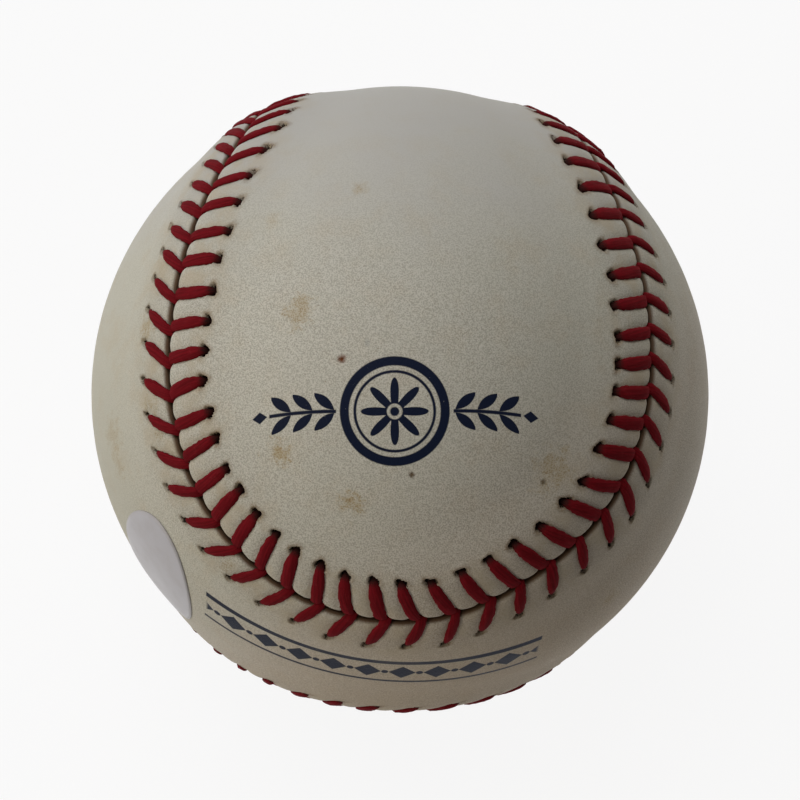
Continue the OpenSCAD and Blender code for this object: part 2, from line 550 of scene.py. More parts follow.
@dataclass(frozen=True)
class Ornament:
    """A plain navy printed ornament, drawn in millimetres on a flat plane that touches the ball."""

    azimuth: float
    elevation: float
    roll: float
    ink: Rgb = srgb(5, 15, 37)
    soft: float = 0.07
    side_fade: float = 2 * MM

    def plane(self) -> tuple[Vector, Vector, Vector]:
        """The plane's normal, its rightward and its upward direction.

        Returns:
            The three unit vectors.
        """
        normal, right, up = (Vector(way) for way in bearings(self.azimuth, self.elevation))
        spin = Matrix.Rotation(math.radians(self.roll), 3, normal)
        return normal, spin @ right, spin @ up

    def flat_point(self, shader: Shader, point: Sock) -> tuple[Sock, Sock, Sock]:
        """Lays a point of the ball on the plane.

        Args:
            shader: the leather's shader.
            point: the point on the ball, in metres.

        Returns:
            Distances across and up the print in millimetres, and 1 on the print's side of the ball.
        """
        normal, right, up = self.plane()
        across = shader.dot(point, right) / MM
        upward = shader.dot(point, up) / MM
        return across, upward, shader.dot(point, normal).rise(0.0, self.side_fade)

    def within(self, distance: Sock, reach: float) -> Sock:
        """1 where a distance is under a reach, with a soft edge."""
        return distance.rise(reach + self.soft, reach - self.soft)


@dataclass(frozen=True)
class Medallion(Ornament):
    """A ring with an eight-petalled flower between two leafy sprigs."""

    ring_r: float = 5.5
    ring_half: float = 0.5
    inner_gap: float = 1.15
    inner_half: float = 0.16
    petal_count: int = 8
    petal_middle: float = 2.4
    petal_swing: float = 1.3
    eye_r: float = 0.85
    button_r: float = 0.5
    sprig_gap: float = 0.9
    sprig_end: float = 13.9
    sprig_bow: float = 0.012
    stem_half: float = 0.2
    leaf_step: float = 2.4
    leaf_place_share: float = 0.56
    leaf_l: float = 1.5
    leaf_w: float = 0.62
    leaf_lean: float = 40.0
    leaf_out: float = 1.12
    leaf_point: float = 1.15
    bud_gap: float = 1.0
    bud_r: float = 0.85
    bud_slope: float = 1.3

    def flower(self, shader: Shader, x: Sock, y: Sock) -> Sock:
        """Draws the rings and the flower within them.

        Args:
            shader: the leather's shader.
            x: distance to the right of the middle.
            y: distance above it.

        Returns:
            1 where the ink lies.
        """
        r = (x * x + y * y) ** 0.5
        outer = self.within(abs(r - self.ring_r), self.ring_half)
        inner = self.within(abs(r - (self.ring_r - self.inner_gap)), self.inner_half)
        angle = shader.node("ShaderNodeMath", {"operation": "ARCTAN2"}, {0: y, 1: x})
        wave = shader.node("ShaderNodeMath", {"operation": "COSINE"}, {0: angle * self.petal_count})
        petals = self.within(r - (self.petal_middle + self.petal_swing * wave), 0.0)
        petals = petals * r.rise(self.eye_r - self.soft, self.eye_r + self.soft)
        return outer.most(inner).most(petals).most(self.within(r, self.button_r))

    def sprig(self, shader: Shader, x: Sock, y: Sock) -> Sock:
        """Draws the stem and its pairs of leaves on either side of the ring.

        Args:
            shader: the leather's shader.
            x: distance to the right of the middle.
            y: distance above it.

        Returns:
            1 where the ink lies.
        """
        soft = self.soft
        start = self.ring_r + self.sprig_gap
        along = abs(x)
        level = y + (along - start) * (along - start) * self.sprig_bow
        span = along.rise(start - soft, start + soft) * along.rise(self.sprig_end, self.sprig_end - 2 * soft)
        stem = self.within(abs(level), self.stem_half) * span
        wrap = {"operation": "FLOORED_MODULO"}
        cell = shader.node("ShaderNodeMath", wrap, {0: along - start, 1: self.leaf_step})
        lean = math.radians(self.leaf_lean)
        dx = cell - self.leaf_step * self.leaf_place_share
        dy = abs(level) - self.leaf_out
        major = (dx * math.cos(lean) + dy * math.sin(lean)) / self.leaf_l
        minor = (dy * math.cos(lean) - dx * math.sin(lean)) / self.leaf_w
        leaf = self.within(major * major + abs(minor) * self.leaf_point, 1.0) * span
        past = abs(along - self.sprig_end - self.bud_gap)
        return stem.most(leaf).most(self.within(past + abs(level) * self.bud_slope, self.bud_r))

    def mask(self, shader: Shader, point: Sock) -> Sock:
        """1 where the ink lies."""
        x, y, shown = self.flat_point(shader, point)
        return self.flower(shader, x, y).most(self.sprig(shader, x, y)) * shown


@dataclass(frozen=True)
class BorderRule(Ornament):
    """A row of lozenges and dots between two rules, bowed with the seam."""

    half_l: float = 19.5
    bow: float = 0.0006
    step: float = 4.0
    rule_up: float = 2.5
    upper_half: float = 0.42
    lower_half: float = 0.24
    lozenge_half: float = 1.5
    lozenge_slope: float = 0.95
    dot_squares: Span = (0.2, 0.13)
    end_fade: float = 0.4

    def mask(self, shader: Shader, point: Sock) -> Sock:
        """Draws the border.

        Args:
            shader: the leather's shader.
            point: the point on the ball, in metres.

        Returns:
            1 where the ink lies.
        """
        x, y, shown = self.flat_point(shader, point)
        level = y - x * x * self.bow
        ends = self.within(abs(x), self.half_l)
        upper = self.within(abs(level - self.rule_up), self.upper_half) * ends
        lower = self.within(abs(level + self.rule_up), self.lower_half) * ends
        cell = shader.node("ShaderNodeMath", {"operation": "PINGPONG"}, {0: x, 1: self.step / 2})
        lozenge = self.within(cell * self.lozenge_slope + abs(level), self.lozenge_half)
        apart = self.step / 2 - cell
        dot = (apart * apart + level * level).rise(*self.dot_squares)
        row = lozenge.most(dot) * abs(x).rise(self.half_l, self.half_l - self.end_fade)
        return upper.most(lower).most(row) * shown


@dataclass(frozen=True)
class LeatherFinish:
    """White full-grain cowhide, faintly stained, printed and soiled at the seam, with painted shade in the
    seam gap and awl holes and painted highlight on the grain's crests.
    """

    name: str
    ball_r: float
    stains: tuple[Stain, ...]
    prints: tuple[Ornament, ...]
    base: Rgb = srgb(196, 195, 188)
    warm: Rgb = srgb(197, 196, 182)
    yellowed: Rgb = srgb(193, 182, 158)
    lower_side_tone: Rgb = srgb(187, 166, 138)
    rosy: Rgb = srgb(204, 184, 171)
    crest_grain_and_highlight: Rgb = srgb(226, 222, 212)
    pore: Rgb = srgb(122, 112, 94)
    fleck: Rgb = srgb(136, 108, 72)
    soil: Rgb = srgb(122, 94, 58)
    # Near-black of the awl holes: dirt and painted shade.
    pit: Rgb = srgb(28, 17, 12)
    fray: Rgb = srgb(182, 166, 134)
    # Dark brown of the seam gap: soil and painted shade.
    groove: Rgb = srgb(88, 64, 42)
    fine_w: float = 0.15 * MM
    fluff_w: float = 0.2 * MM
    pebble_w: float = 0.26 * MM
    rough_w: float = 0.28 * MM
    worn_w: float = 0.5 * MM
    patch_w: float = 1.1 * MM
    wrinkle_w: float = 1.8 * MM
    blotch_w: float = 4 * MM
    cloud_w: float = 11 * MM
    cloud_sway: float = 24 * MM
    grain_depth: float = 0.024 * MM
    wrinkle_depth: float = 0.05 * MM
    smooth_way: Way = (-0.09, 0.9, 0.43)
    smooth_span: Span = (36 * MM, 10 * MM)
    lower_side_way: Way = (0.38, -0.88, -0.28)
    lower_side_span: Span = (19 * MM, 38 * MM)
    rosy_way: Way = (0.62, -0.6, -0.5)
    rosy_span: Span = (-2 * MM, 16 * MM)
    left_span: Span = (-35 * MM, -26 * MM)
    coarse_spot: Way = (-8 * MM, -22 * MM, 29 * MM)
    coarse_span: Span = (34 * MM, 8 * MM)

    def hide(self, sh: Shader, point: Sock, front: Sock, blotch: Sock) -> Sock:
        """Colours the plain hide: warm at the front, yellowed in blotches, rosier towards the lower right,
        and warmer and darker towards the lower side in the camera's view.

        Args:
            sh: the leather's shader.
            point: the point on the ball.
            front: 1 on the front, 0 on the smooth crown.
            blotch: cloudy noise.

        Returns:
            The colour.
        """
        colour = sh.mix(front, self.base, self.warm)
        colour = sh.mix(blotch.rise(0.45, 0.75) * (front * 0.3 + 0.1), colour, self.yellowed)
        rosy = sh.dot(point, self.rosy_way).rise(*self.rosy_span)
        colour = sh.mix(rosy * 0.32, colour, self.rosy)
        # Warmer and darker towards the lower side.
        lower_side_tone = sh.dot(point, self.lower_side_way).rise(*self.lower_side_span)
        return sh.mix(lower_side_tone * 0.6, colour, self.lower_side_tone)

    def grained(self, sh: Shader, colour: Sock, tone: Sock, grain: Sock, coarse: Sock) -> Sock:
        """Adds the grain's light crests, partly painted highlight, and dark pores.

        Args:
            sh: the leather's shader.
            colour: the hide's colour.
            tone: the grain, low on crests and high in pores.
            grain: how strongly the grain shows.
            coarse: 1 where it is coarsest.

        Returns:
            The colour.
        """
        # Lighter crests where the bump is high: grain tone and painted highlight.
        colour = sh.mix((tone.rise(0.55, 0.05) * 0.4 + coarse * 0.16) * grain, colour, self.crest_grain_and_highlight)
        return sh.mix(tone.rise(0.45, 0.95) * grain * 0.32, colour, self.pore)

    def marks(self, sh: Shader, point: Sock, colour: Sock, ragged: Sock, speck: Sock) -> Sock:
        """Adds the stains: a pale wash and a core that gathers in the pores.

        Args:
            sh: the leather's shader.
            point: the point on the ball.
            colour: the leather's colour.
            ragged: noise that breaks up the outlines.
            speck: 1 in the pores where dirt gathers.

        Returns:
            The colour.
        """
        for stain in self.stains:
            away = sh.away_from(point, stain.point(self.ball_r)) / (stain.radius * MM)
            spread = (away + ragged * min(3.2, stain.radius * 2)).rise(1.25, 0.05)
            colour = sh.mix(spread * stain.strength, colour, stain.wash)
            colour = sh.mix(spread * spread * (speck * 0.6 + 0.1) * stain.strength, colour, stain.tone)
        return colour

    def printed(self, sh: Shader, point: Sock, colour: Sock, roughness: Sock) -> tuple[Sock, Sock]:
        """Adds the ink, chipped here and there and smoother than the leather.

        Args:
            sh: the leather's shader.
            point: the point on the ball.
            colour: the leather's colour.
            roughness: the leather's roughness.

        Returns:
            The colour and the roughness.
        """
        whole = sh.noise(point, self.worn_w, 4.0, 0.7).rise(0.27, 0.31)
        for ornament in self.prints:
            inked = ornament.mask(sh, point) * (whole * 0.75 + 0.25)
            colour = sh.mix(inked, colour, ornament.ink)
            roughness = roughness - inked * 0.1
        return colour, roughness

    def seam_dirt_and_shade(self, sh: Shader, colour: Sock, rough: Sock, blotch: Sock, fluff: Sock) -> Sock:
        """Darkens the awl holes and the cut edges with dirt and painted shade, with frayed rims.

        Args:
            sh: the leather's shader.
            colour: the leather's colour.
            rough: fine ragged noise.
            blotch: cloudy noise.
            fluff: noise of the width of a frayed fibre.

        Returns:
            The colour.
        """
        reach = sh.attribute("hole") + (rough - 0.5) * 1.35
        groove = sh.attribute("groove")
        beside = (groove * 9).least(1.0) * blotch.rise(0.42, 0.66)
        colour = sh.mix(beside * 0.62, colour, self.yellowed)
        colour = sh.mix(sh.attribute("smudge") * reach.rise(2.3, 0.9), colour, self.soil)
        # Dark brown down the rolled edge, the cut wall and the underside: painted shade in the seam gap,
        # with soil in the halo beside the seam.
        colour = sh.mix(groove, colour, self.groove)
        # Near-black inside the awl holes: dirt and painted shade in the recess.
        colour = sh.mix(reach.rise(1.25, 0.85), colour, self.pit)
        bits = fluff.rise(0.56, 0.64) * reach.rise(0.45, 0.75) * reach.rise(1.5, 1.15)
        return sh.mix(bits * sh.attribute("fray"), colour, self.fray)

    def material(self) -> bpy.types.Material:
        """Builds the leather.

        Returns:
            The material.
        """
        sh = Surface(self.name)
        point = sh.object_point()
        small = sh.noise(point, self.fine_w, 0.0)
        rough = sh.noise(point, self.rough_w, 3.0, 0.65)
        broad = sh.noise(point, self.cloud_w, 3.0, 0.55)
        blotch = sh.noise(point, self.blotch_w, 4.0, 0.6)
        patchy = sh.noise(point, self.patch_w, 2.0, 0.6)
        level = sh.dot(point, self.smooth_way) + (broad - 0.5) * self.cloud_sway
        front = level.rise(*self.smooth_span)
        coarse = sh.away_from(point, self.coarse_spot).rise(*self.coarse_span)
        left = sh.dot(point, (1, 0, 0)).rise(*self.left_span) * 0.7 + 0.3
        grain = (front * 0.78 + coarse * 0.4 + (broad - 0.5) * 0.5).least(1.0).most(0.08) * left
        tone = (0.5 - small) * 2.4 + (sh.cells(point, self.pebble_w) - 0.5) * 0.25 + 0.5
        ragged = (blotch - 0.5) * 0.5 + (patchy - 0.5) + (rough - 0.5) * 0.6
        speck = (tone + (rough - 0.5)).rise(0.5, 0.8)
        colour = self.hide(sh, point, front, blotch)
        colour = self.grained(sh, colour, tone, grain, coarse)
        colour = sh.mix(rough.rise(0.6, 0.72) * speck * (grain * 0.45), colour, self.fleck)
        colour = self.marks(sh, point, colour, ragged, speck)
        colour, roughness = self.printed(sh, point, colour, 0.6 - 0.1 * grain + small * 0.1)
        colour = self.seam_dirt_and_shade(sh, colour, rough, blotch, sh.noise(point, self.fluff_w, 2.0, 0.6))
        normal = sh.bump((1 - tone) * (grain * 0.8 + 0.05), self.grain_depth, 1.0)
        wrinkle = sh.noise(point, self.wrinkle_w, 3.0, 0.55)
        normal = sh.bump(wrinkle, self.wrinkle_depth, 0.6, normal)
        return sh.dress(Base_Color=colour, Roughness=roughness, Normal=normal, Specular_IOR_Level=0.08)


@dataclass(frozen=True)
class ThreadFinish:
    """Red waxed thread with fine strands, dark from stain and painted shade where it sinks into a hole or
    the seam.
    """

    name: str
    stitch_count: int
    red: Rgb = srgb(117, 15, 25)
    deep: Rgb = srgb(90, 6, 14)
    # Pink of rubbed fibres and painted sheen.
    rubbed_and_sheen: Rgb = srgb(146, 52, 56)
    # Brown-black of the thread's ends: stain and painted shade.
    dark: Rgb = srgb(38, 18, 14)
    strands: float = 20.0
    streaks: float = 200.0
    twist: float = 0.3
    mottle_w: float = 0.9 * MM
    fluff_w: float = 0.12 * MM
    depth: float = 0.06 * MM

    def material(self) -> bpy.types.Material:
        """Builds the thread.

        Returns:
            The material.
        """
        sh = Surface(self.name)
        uv = sh.node("ShaderNodeTexCoord", out="UV")
        turning = self.strands * self.twist * self.stitch_count
        flow = {"X": sh.dot(uv, (self.streaks, 0, 0)), "Y": sh.dot(uv, (turning, self.strands, 0))}
        lengthwise = sh.node("ShaderNodeCombineXYZ", {}, flow)
        fibre = sh.node("ShaderNodeTexNoise", {}, {"Vector": lengthwise, "Scale": 1.0, "Detail": 3.0})
        point = sh.object_point()
        mottled = sh.noise(point, self.mottle_w, 3.0, 0.6)
        fluff = sh.noise(point, self.fluff_w, 2.0, 0.6)
        colour = sh.mix(fibre.rise(0.3, 0.68), self.deep, self.red)
        # Lighter pink patches: rubbed fibres and painted sheen highlights.
        colour = sh.mix(mottled.rise(0.5, 0.8) * fluff.rise(0.45, 0.65) * 0.5, colour, self.rubbed_and_sheen)
        ends = sh.attribute("end_dark") + (fluff - 0.5) * 0.7 + (fibre - 0.5) * 0.8
        # Dark ends: stain, and painted shade where the thread sinks into its hole or the seam gap.
        colour = sh.mix(ends.rise(0.2, 0.95), colour, self.dark)
        normal = sh.bump(fibre * 0.7 + fluff * 0.6, self.depth, 0.9)
        rough = 0.68 + fluff * 0.2
        return sh.dress(Base_Color=colour, Roughness=rough, Normal=normal, Specular_IOR_Level=0.08)


@dataclass(frozen=True)
class LabelFinish:
    """Blank white film with a satin face and a dulled rim."""

    name: str
    base: Rgb = srgb(185, 184, 190)
    dull: Rgb = srgb(160, 154, 150)
    cloud_w: float = 3 * MM
    scuff_w: float = 0.6 * MM
    depth: float = 0.012 * MM

    def material(self) -> bpy.types.Material:
        """Builds the film.

        Returns:
            The material.
        """
        sh = Surface(self.name)
        point = sh.object_point()
        cloud = sh.noise(point, self.cloud_w, 3.0, 0.6)
        colour = sh.mix(cloud.rise(0.4, 0.8) * 0.25 + sh.attribute("rim") * 0.6, self.base, self.dull)
        normal = sh.bump(sh.noise(point, self.scuff_w, 3.0, 0.7), self.depth, 0.6)
        return sh.dress(Base_Color=colour, Roughness=cloud * 0.2 + 0.3, Normal=normal)


@dataclass(frozen=True)
class GranuleFinish:
    """Pressed granules: cork, rubber or dried cement."""

    name: str
    light: Rgb
    dark: Rgb
    size: float
    depth: float
    rough: float

    def material(self) -> bpy.types.Material:
        """Builds the granules.

        Returns:
            The material.
        """
        sh = Surface(self.name)
        point = sh.object_point()
        grains = sh.cells(point, self.size)
        cloud = sh.noise(point, self.size * 4, 3.0, 0.6)
        colour = sh.mix(grains.rise(0.1, 0.7) * 0.7 + cloud * 0.3, self.light, self.dark)
        normal = sh.bump(grains, self.depth, 0.8)
        return sh.dress(Base_Color=colour, Roughness=cloud * 0.15 + self.rough, Normal=normal)


@dataclass(frozen=True)
class YarnFinish:
    """Yarn wound in many crossing turns, with painted shade in the valleys between them."""

    name: str
    light: Rgb
    dark: Rgb
    yarn_w: float
    patch_w: float = 9 * MM
    hair_w: float = 0.3 * MM
    winding_ways: tuple[Way, ...] = ((0.8, 0.5, 0.33), (-0.6, 0.7, 0.4), (0.1, -0.5, 0.86))

    def material(self) -> bpy.types.Material:
        """Builds the winding.

        Returns:
            The material.
        """
        sh = Surface(self.name)
        point = sh.object_point()
        turns = None
        for way in self.winding_ways:
            level = sh.dot(point, way) / self.yarn_w
            ridge = sh.node("ShaderNodeMath", {"operation": "PINGPONG"}, {0: level, 1: 0.5})
            patch = sh.noise(point, self.patch_w, 2.0).rise(0.42, 0.58)
            turns = ridge if turns is None else turns * patch + ridge * (1 - patch)
        hair = sh.noise(point, self.hair_w, 3.0, 0.7)
        # Darker in the valleys between turns: painted shade.
        colour = sh.mix(turns.rise(0.02, 0.3) * 0.8 + hair * 0.2, self.dark, self.light)
        normal = sh.bump(turns + hair * 0.3, self.yarn_w * 0.3, 0.9)
        return sh.dress(Base_Color=colour, Roughness=hair * 0.1 + 0.8, Normal=normal)


def sheet(bm: bmesh.types.BMesh, columns: int, rows: int, place: Placing) -> None:
    """Adds a grid and moves each of its points to its place.

    Args:
        bm: mesh that takes the grid.
        columns: number of faces along it.
        rows: number of faces across it.
        place: gives the points, and the numbers that they carry, for columns and rows.
    """
    made = bmesh.ops.create_grid(bm, x_segments=columns, y_segments=rows, size=1, calc_uvs=True)
    corners = np.array([v.co[:2] for v in made["verts"]])
    i = np.rint((corners[:, 0] + 1) / 2 * columns).astype(int)
    j = np.rint((corners[:, 1] + 1) / 2 * rows).astype(int)
    points, numbers = place(i, j)
    for vert, point in zip(made["verts"], points):
        vert.co = point
    for name, values in numbers.items():
        layer = bm.verts.layers.float.get(name)
        for vert, value in zip(made["verts"], values):
            vert[layer] = float(value)


def new_sheet_mesh(*numbers: str) -> bmesh.types.BMesh:
    """Starts a mesh with a UV map and the numbers that its points carry.

    Args:
        numbers: names of the numbers.

    Returns:
        The empty mesh.
    """
    bm = bmesh.new()
    bm.loops.layers.uv.new("UVMap")
    for name in numbers:
        bm.verts.layers.float.new(name)
    return bm


def finish_mesh(bm: bmesh.types.BMesh, name: str, material: bpy.types.Material) -> bpy.types.Object:
    """Welds a mesh, points its faces outwards and makes it an object.

    Args:
        bm: the mesh.
        name: name of the piece.
        material: its finish.

    Returns:
        The object, at the origin.
    """
    bmesh.ops.remove_doubles(bm, verts=bm.verts, dist=WELD)
    bmesh.ops.dissolve_degenerate(bm, edges=bm.edges, dist=WELD / 10)
    bmesh.ops.recalc_face_normals(bm, faces=bm.faces)
    open_edges = sum(not edge.is_manifold for edge in bm.edges)
    for face in bm.faces:
        face.smooth = True
    mesh = bpy.data.meshes.new(name)
    bm.to_mesh(mesh)
    bm.free()
    mesh.materials.append(material)
    piece = bpy.data.objects.new(name, mesh)
    bpy.context.scene.collection.objects.link(piece)
    log.info("%s: %d faces, %d open edges", name, len(mesh.polygons), open_edges)
    return piece


@dataclass
class CoverPanel:
    """One figure-eight leather panel: a smooth dome, a raised puckered edge and its awl holes."""

    seam: SeamCurve
    plan: StitchPlan
    leather_in_r: float
    node: str
    lift: float = 0.8 * MM
    flat_to: float = 3.0 * MM
    ramp_end: float = 11.0 * MM
    ramp_settle: float = 0.2 * MM
    dent: float = 0.13 * MM
    dent_shares: Span = (0.25, 0.65)
    arm_fade: Span = (-0.4 * MM, 0.5 * MM)
    puff: float = 0.13 * MM
    puff_shares: Span = (0.2, 0.95)
    puff_fade: Span = (1.8 * MM, 5.8 * MM)
    roll_w: float = 0.85 * MM
    roll_h: float = 0.6 * MM
    hole_w: float = 1.3 * MM
    hole_l: float = 1.1 * MM
    hole_depth: float = 1.1 * MM
    hole_size_shares: Span = (0.82, 1.08)
    hole_wall_shares: Span = (0.72, 1.12)
    hole_rim: float = 0.08 * MM
    rim_place_share: float = 1.35
    rim_w_share: float = 0.35
    ragged_share: float = 0.16
    tuck: float = 0.5 * MM
    tuck_shares: tuple[float, float, float] = (0.15, 0.42, 0.85)
    bulge: float = 0.08 * MM
    belly_share: float = 0.8
    front_edge: float = 0.5 * MM
    front_pull: float = 0.12 * MM
    front_pull_w: float = 0.6 * MM
    under_edge: float = 0.05 * MM
    under_flat: float = 5.0 * MM
    halo_share: float = 0.12
    halo_s: float = 2.8 * MM
    halo_w: float = 3.4 * MM
    # How strongly painted shade darkens the rolled edge, and where along the roll it starts.
    groove_share: float = 0.95
    groove_start_share: float = 0.55
    smudge_share: float = 1.0
    fray_share: float = 0.9
    fray_from_shares: Span = (0.75, 0.95)
    outer_rows: tuple[float, ...] = (11.0, 10.2, 9.4, 8.6, 7.9, 7.3, 6.8, 6.4)
    hole_rows: tuple[float, float, float] = (6.1, 3.8, -0.19)
    inner_rows: tuple[float, ...] = (3.55, 3.15, 2.75, 2.35, 2.0)
    steps_per_pitch: int = 14
    roll_rows: int = 7
    dome_strips: int = 20
    under_strips: int = 8

    @property
    def columns(self) -> int:
        """Steps of the mesh along the whole seam."""
        return self.seam.stitch_count * self.steps_per_pitch

    def back_edge_at(self, ahead: np.ndarray) -> np.ndarray:
        """The back panel's cut edge between two arms, tucked in where the thread pulls it.

        Args:
            ahead: share of the way from one arm to the next, in the sewing direction.

        Returns:
            The distance from the seam line, positive towards the panel.
        """
        start, end, again = self.tuck_shares
        near = np.clip((end - ahead) / (end - start), 0, 1)
        far = np.clip((ahead - again) / (1 - again), 0, 1)
        belly = np.sin(np.pi * np.clip((ahead - end) / (again - end), 0, 1))
        tucked = 2 - np.sqrt(1 - near * near) - np.sqrt(1 - far * far)
        return self.tuck * tucked - self.bulge * (1 + self.belly_share * belly)

    def edge_at(self, u: np.ndarray) -> np.ndarray:
        """Distance of the cut edge from the seam line.

        Args:
            u: places on the seam.

        Returns:
            The distances, positive towards this panel.
        """
        _, away = self.plan.beside(u, np.zeros_like(u))
        if self.plan.side is Side.FRONT:
            return self.front_edge + self.front_pull * np.exp(-(away / self.front_pull_w) ** 2)
        share = away / self.seam.pitch
        return self.back_edge_at(np.where(share > 0, 1 - share, -share))

    def ramp(self, s: np.ndarray) -> np.ndarray:
        """Height to which the thread beneath lifts the leather, by the distance from the seam."""
        return self.lift * (1 - smooth(self.flat_to, self.ramp_end - self.ramp_settle, s))

    def height(self, u: np.ndarray, s: np.ndarray) -> Placed:
        """Height of the leather's face over the ball, with what the face carries.

        Args:
            u: places on the seam.
            s: distances from it, on this side.

        Returns:
            The heights, and the numbers for the holes and the dirt round them.
        """
        plan = self.plan
        k, away = plan.beside(u, s)
        q = np.clip(np.abs(away) / (self.seam.pitch / 2), 0, 1)
        hole_s = plan.hole_reach + plan.hole_push[k]
        beside_arm = 1 - smooth(hole_s + self.arm_fade[0], hole_s + self.arm_fade[1], s)
        level = self.ramp(s) - self.dent * (1 - smooth(*self.dent_shares, q)) * beside_arm
        level = level + self.puff * smooth(*self.puff_shares, q) * (1 - smooth(*self.puff_fade, s))
        small, large = self.hole_size_shares
        size = small + (large - small) * plan.dark_factor[k]
        swirl = 1 + self.ragged_share * np.sin(3 * np.arctan2(s - hole_s, away) + 7.0 * k)
        reach = np.hypot(away / (self.hole_w / 2), (s - hole_s) / (self.hole_l / 2)) * swirl / size
        inside = 1 - smooth(*self.hole_wall_shares, reach)
        rim = np.exp(-((reach - self.rim_place_share) / self.rim_w_share) ** 2)
        level = level - self.hole_depth * inside + self.hole_rim * rim
        smudge = self.smudge_share * (0.2 + 0.5 * plan.dark_factor[k])
        fray = self.fray_share * smooth(*self.fray_from_shares, plan.dark_factor[k])
        return level, {"hole": np.clip(reach, 0, 3), "smudge": smudge, "fray": fray}

    def profile_rows(self) -> np.ndarray:
        """Distances from the seam of the rows on the face, from the dome inwards."""
        return np.concatenate([self.outer_rows, np.arange(*self.hole_rows), self.inner_rows]) * MM

    def band(self, i: np.ndarray, j: np.ndarray) -> Placed:
        """Places the raised band: its face, the rolled edge, the cut wall and the underside.

        Args:
            i: steps along the seam.
            j: rows, from the dome over the face and round to the underside.

        Returns:
            The points and the numbers that they carry.
        """
        u = i / self.columns
        face = self.profile_rows()
        rolled = len(face)
        wall = rolled + self.roll_rows
        edge = self.edge_at(u)
        s = np.empty(len(i))
        on_face = j < rolled
        s[on_face] = face[j[on_face]]
        turn = np.clip((j - rolled) / (self.roll_rows - 1), 0, 1) * np.pi / 2
        s[~on_face] = (edge + self.roll_w * (1 - np.sin(turn)))[~on_face]
        level, numbers = self.height(u, s)
        level = level - np.where(on_face, 0, self.roll_h * (1 - np.cos(turn)))
        r = self.seam.ball_r + level
        raised = self.leather_in_r + self.lift
        flat, seated = (self.under_flat, raised), (self.ramp_end, self.leather_in_r)
        under = ((edge + self.under_edge, raised), flat, seated)
        for row, (distance, radius) in enumerate(under, start=wall):
            here = j == row
            s[here] = np.broadcast_to(distance, s.shape)[here]
            r[here] = radius
        # Painted shade down the rolled edge, the cut wall and the underside, and a soil halo beside the
        # seam.
        depth = np.where(on_face, 0, turn / (np.pi / 2))
        starts = self.groove_start_share
        halo = self.halo_share * np.exp(-((s - self.halo_s) / self.halo_w) ** 2)
        groove = np.where(j >= wall, 1, self.groove_share * smooth(starts, starts + 0.5, depth))
        numbers["groove"] = np.clip(np.maximum(groove, halo), 0, 1)
        return self.seam.spot(u, s * self.plan.side.value, r), numbers

    def dome(self, r: float, strips: int) -> Placing:
        """Gives the placing of the smooth part between the two sides of the band.

        Args:
            r: distance from the ball's centre.
            strips: number of faces across.

        Returns:
            The placing function.
        """
        tip = self.columns // 4 if self.plan.side is Side.BACK else 0

        def place(i: np.ndarray, j: np.ndarray) -> Placed:
            """Places points on the arcs that join mirrored points of the band.

            Args:
                i: steps along the tip's two sides.
                j: strips from one side to the other.

            Returns:
                The points and the numbers that they carry.
            """
            none = np.zeros(len(i))
            reach = none + self.ramp_end * self.plan.side.value
            a = self.seam.spot((tip + i) / self.columns, reach, none + 1)
            b = self.seam.spot((tip - i) / self.columns, reach, none + 1)
            span = np.arccos(np.clip((a * b).sum(1), -1, 1))[:, None]
            share = (j / strips)[:, None]
            safe = np.maximum(span, 1e-9)
            mixed = a * np.sin((1 - share) * safe) + b * np.sin(share * safe)
            mixed /= np.linalg.norm(mixed, axis=1, keepdims=True)
            return mixed * r, {"hole": none + 3, "smudge": none, "fray": none, "groove": none}

        return place

    def build(self, material: bpy.types.Material) -> None:
        """Builds the panel as one closed mesh, which stands for the CAD panel.

        Args:
            material: the leather.
        """
        bm = new_sheet_mesh("hole", "smudge", "fray", "groove")
        rows = len(self.profile_rows()) + self.roll_rows + 2
        sheet(bm, self.columns, rows, self.band)
        sheet(bm, self.columns // 2, self.dome_strips, self.dome(self.seam.ball_r, self.dome_strips))
        sheet(bm, self.columns // 2, self.under_strips, self.dome(self.leather_in_r, self.under_strips))
        piece = finish_mesh(bm, self.node.replace("panel", "leather"), material)
        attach(piece, "root")
        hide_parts(self.node)


@dataclass(frozen=True)
class ArmPoint:
    """One step of a stitch's visible arm, from the bottom of its hole to the bottom of the seam.

    The reach is a share of the way from the seam to the hole, the height is millimetres over the ball,
    the widths are shares of the arm's full width on either panel, and dark is the share of stain and
    painted shade, fullest where the arm sinks into its hole or the seam.
    """

    reach: float
    height: float
    back_w: float
    front_w: float
    dark: float


ARM = (
    ArmPoint(1.00, -1.00, 0.42, 0.32, 1.00),
    ArmPoint(1.02, -0.35, 0.46, 0.34, 1.00),
    ArmPoint(1.01, 0.15, 0.54, 0.38, 0.95),
    ArmPoint(0.96, 0.50, 0.66, 0.50, 0.70),
    ArmPoint(0.88, 0.68, 0.80, 0.70, 0.28),
    ArmPoint(0.77, 0.79, 0.94, 0.92, 0.04),
    ArmPoint(0.62, 0.84, 1.00, 1.04, 0.00),
    ArmPoint(0.45, 0.86, 1.00, 1.06, 0.00),
    ArmPoint(0.28, 0.85, 1.00, 1.00, 0.00),
    ArmPoint(0.14, 0.80, 0.97, 0.93, 0.00),
    ArmPoint(0.04, 0.62, 0.92, 0.86, 0.05),
    ArmPoint(-0.03, 0.28, 0.84, 0.78, 0.20),
    ArmPoint(-0.04, -0.30, 0.70, 0.68, 0.60),
    ArmPoint(-0.02, -1.00, 0.60, 0.60, 1.00),
)


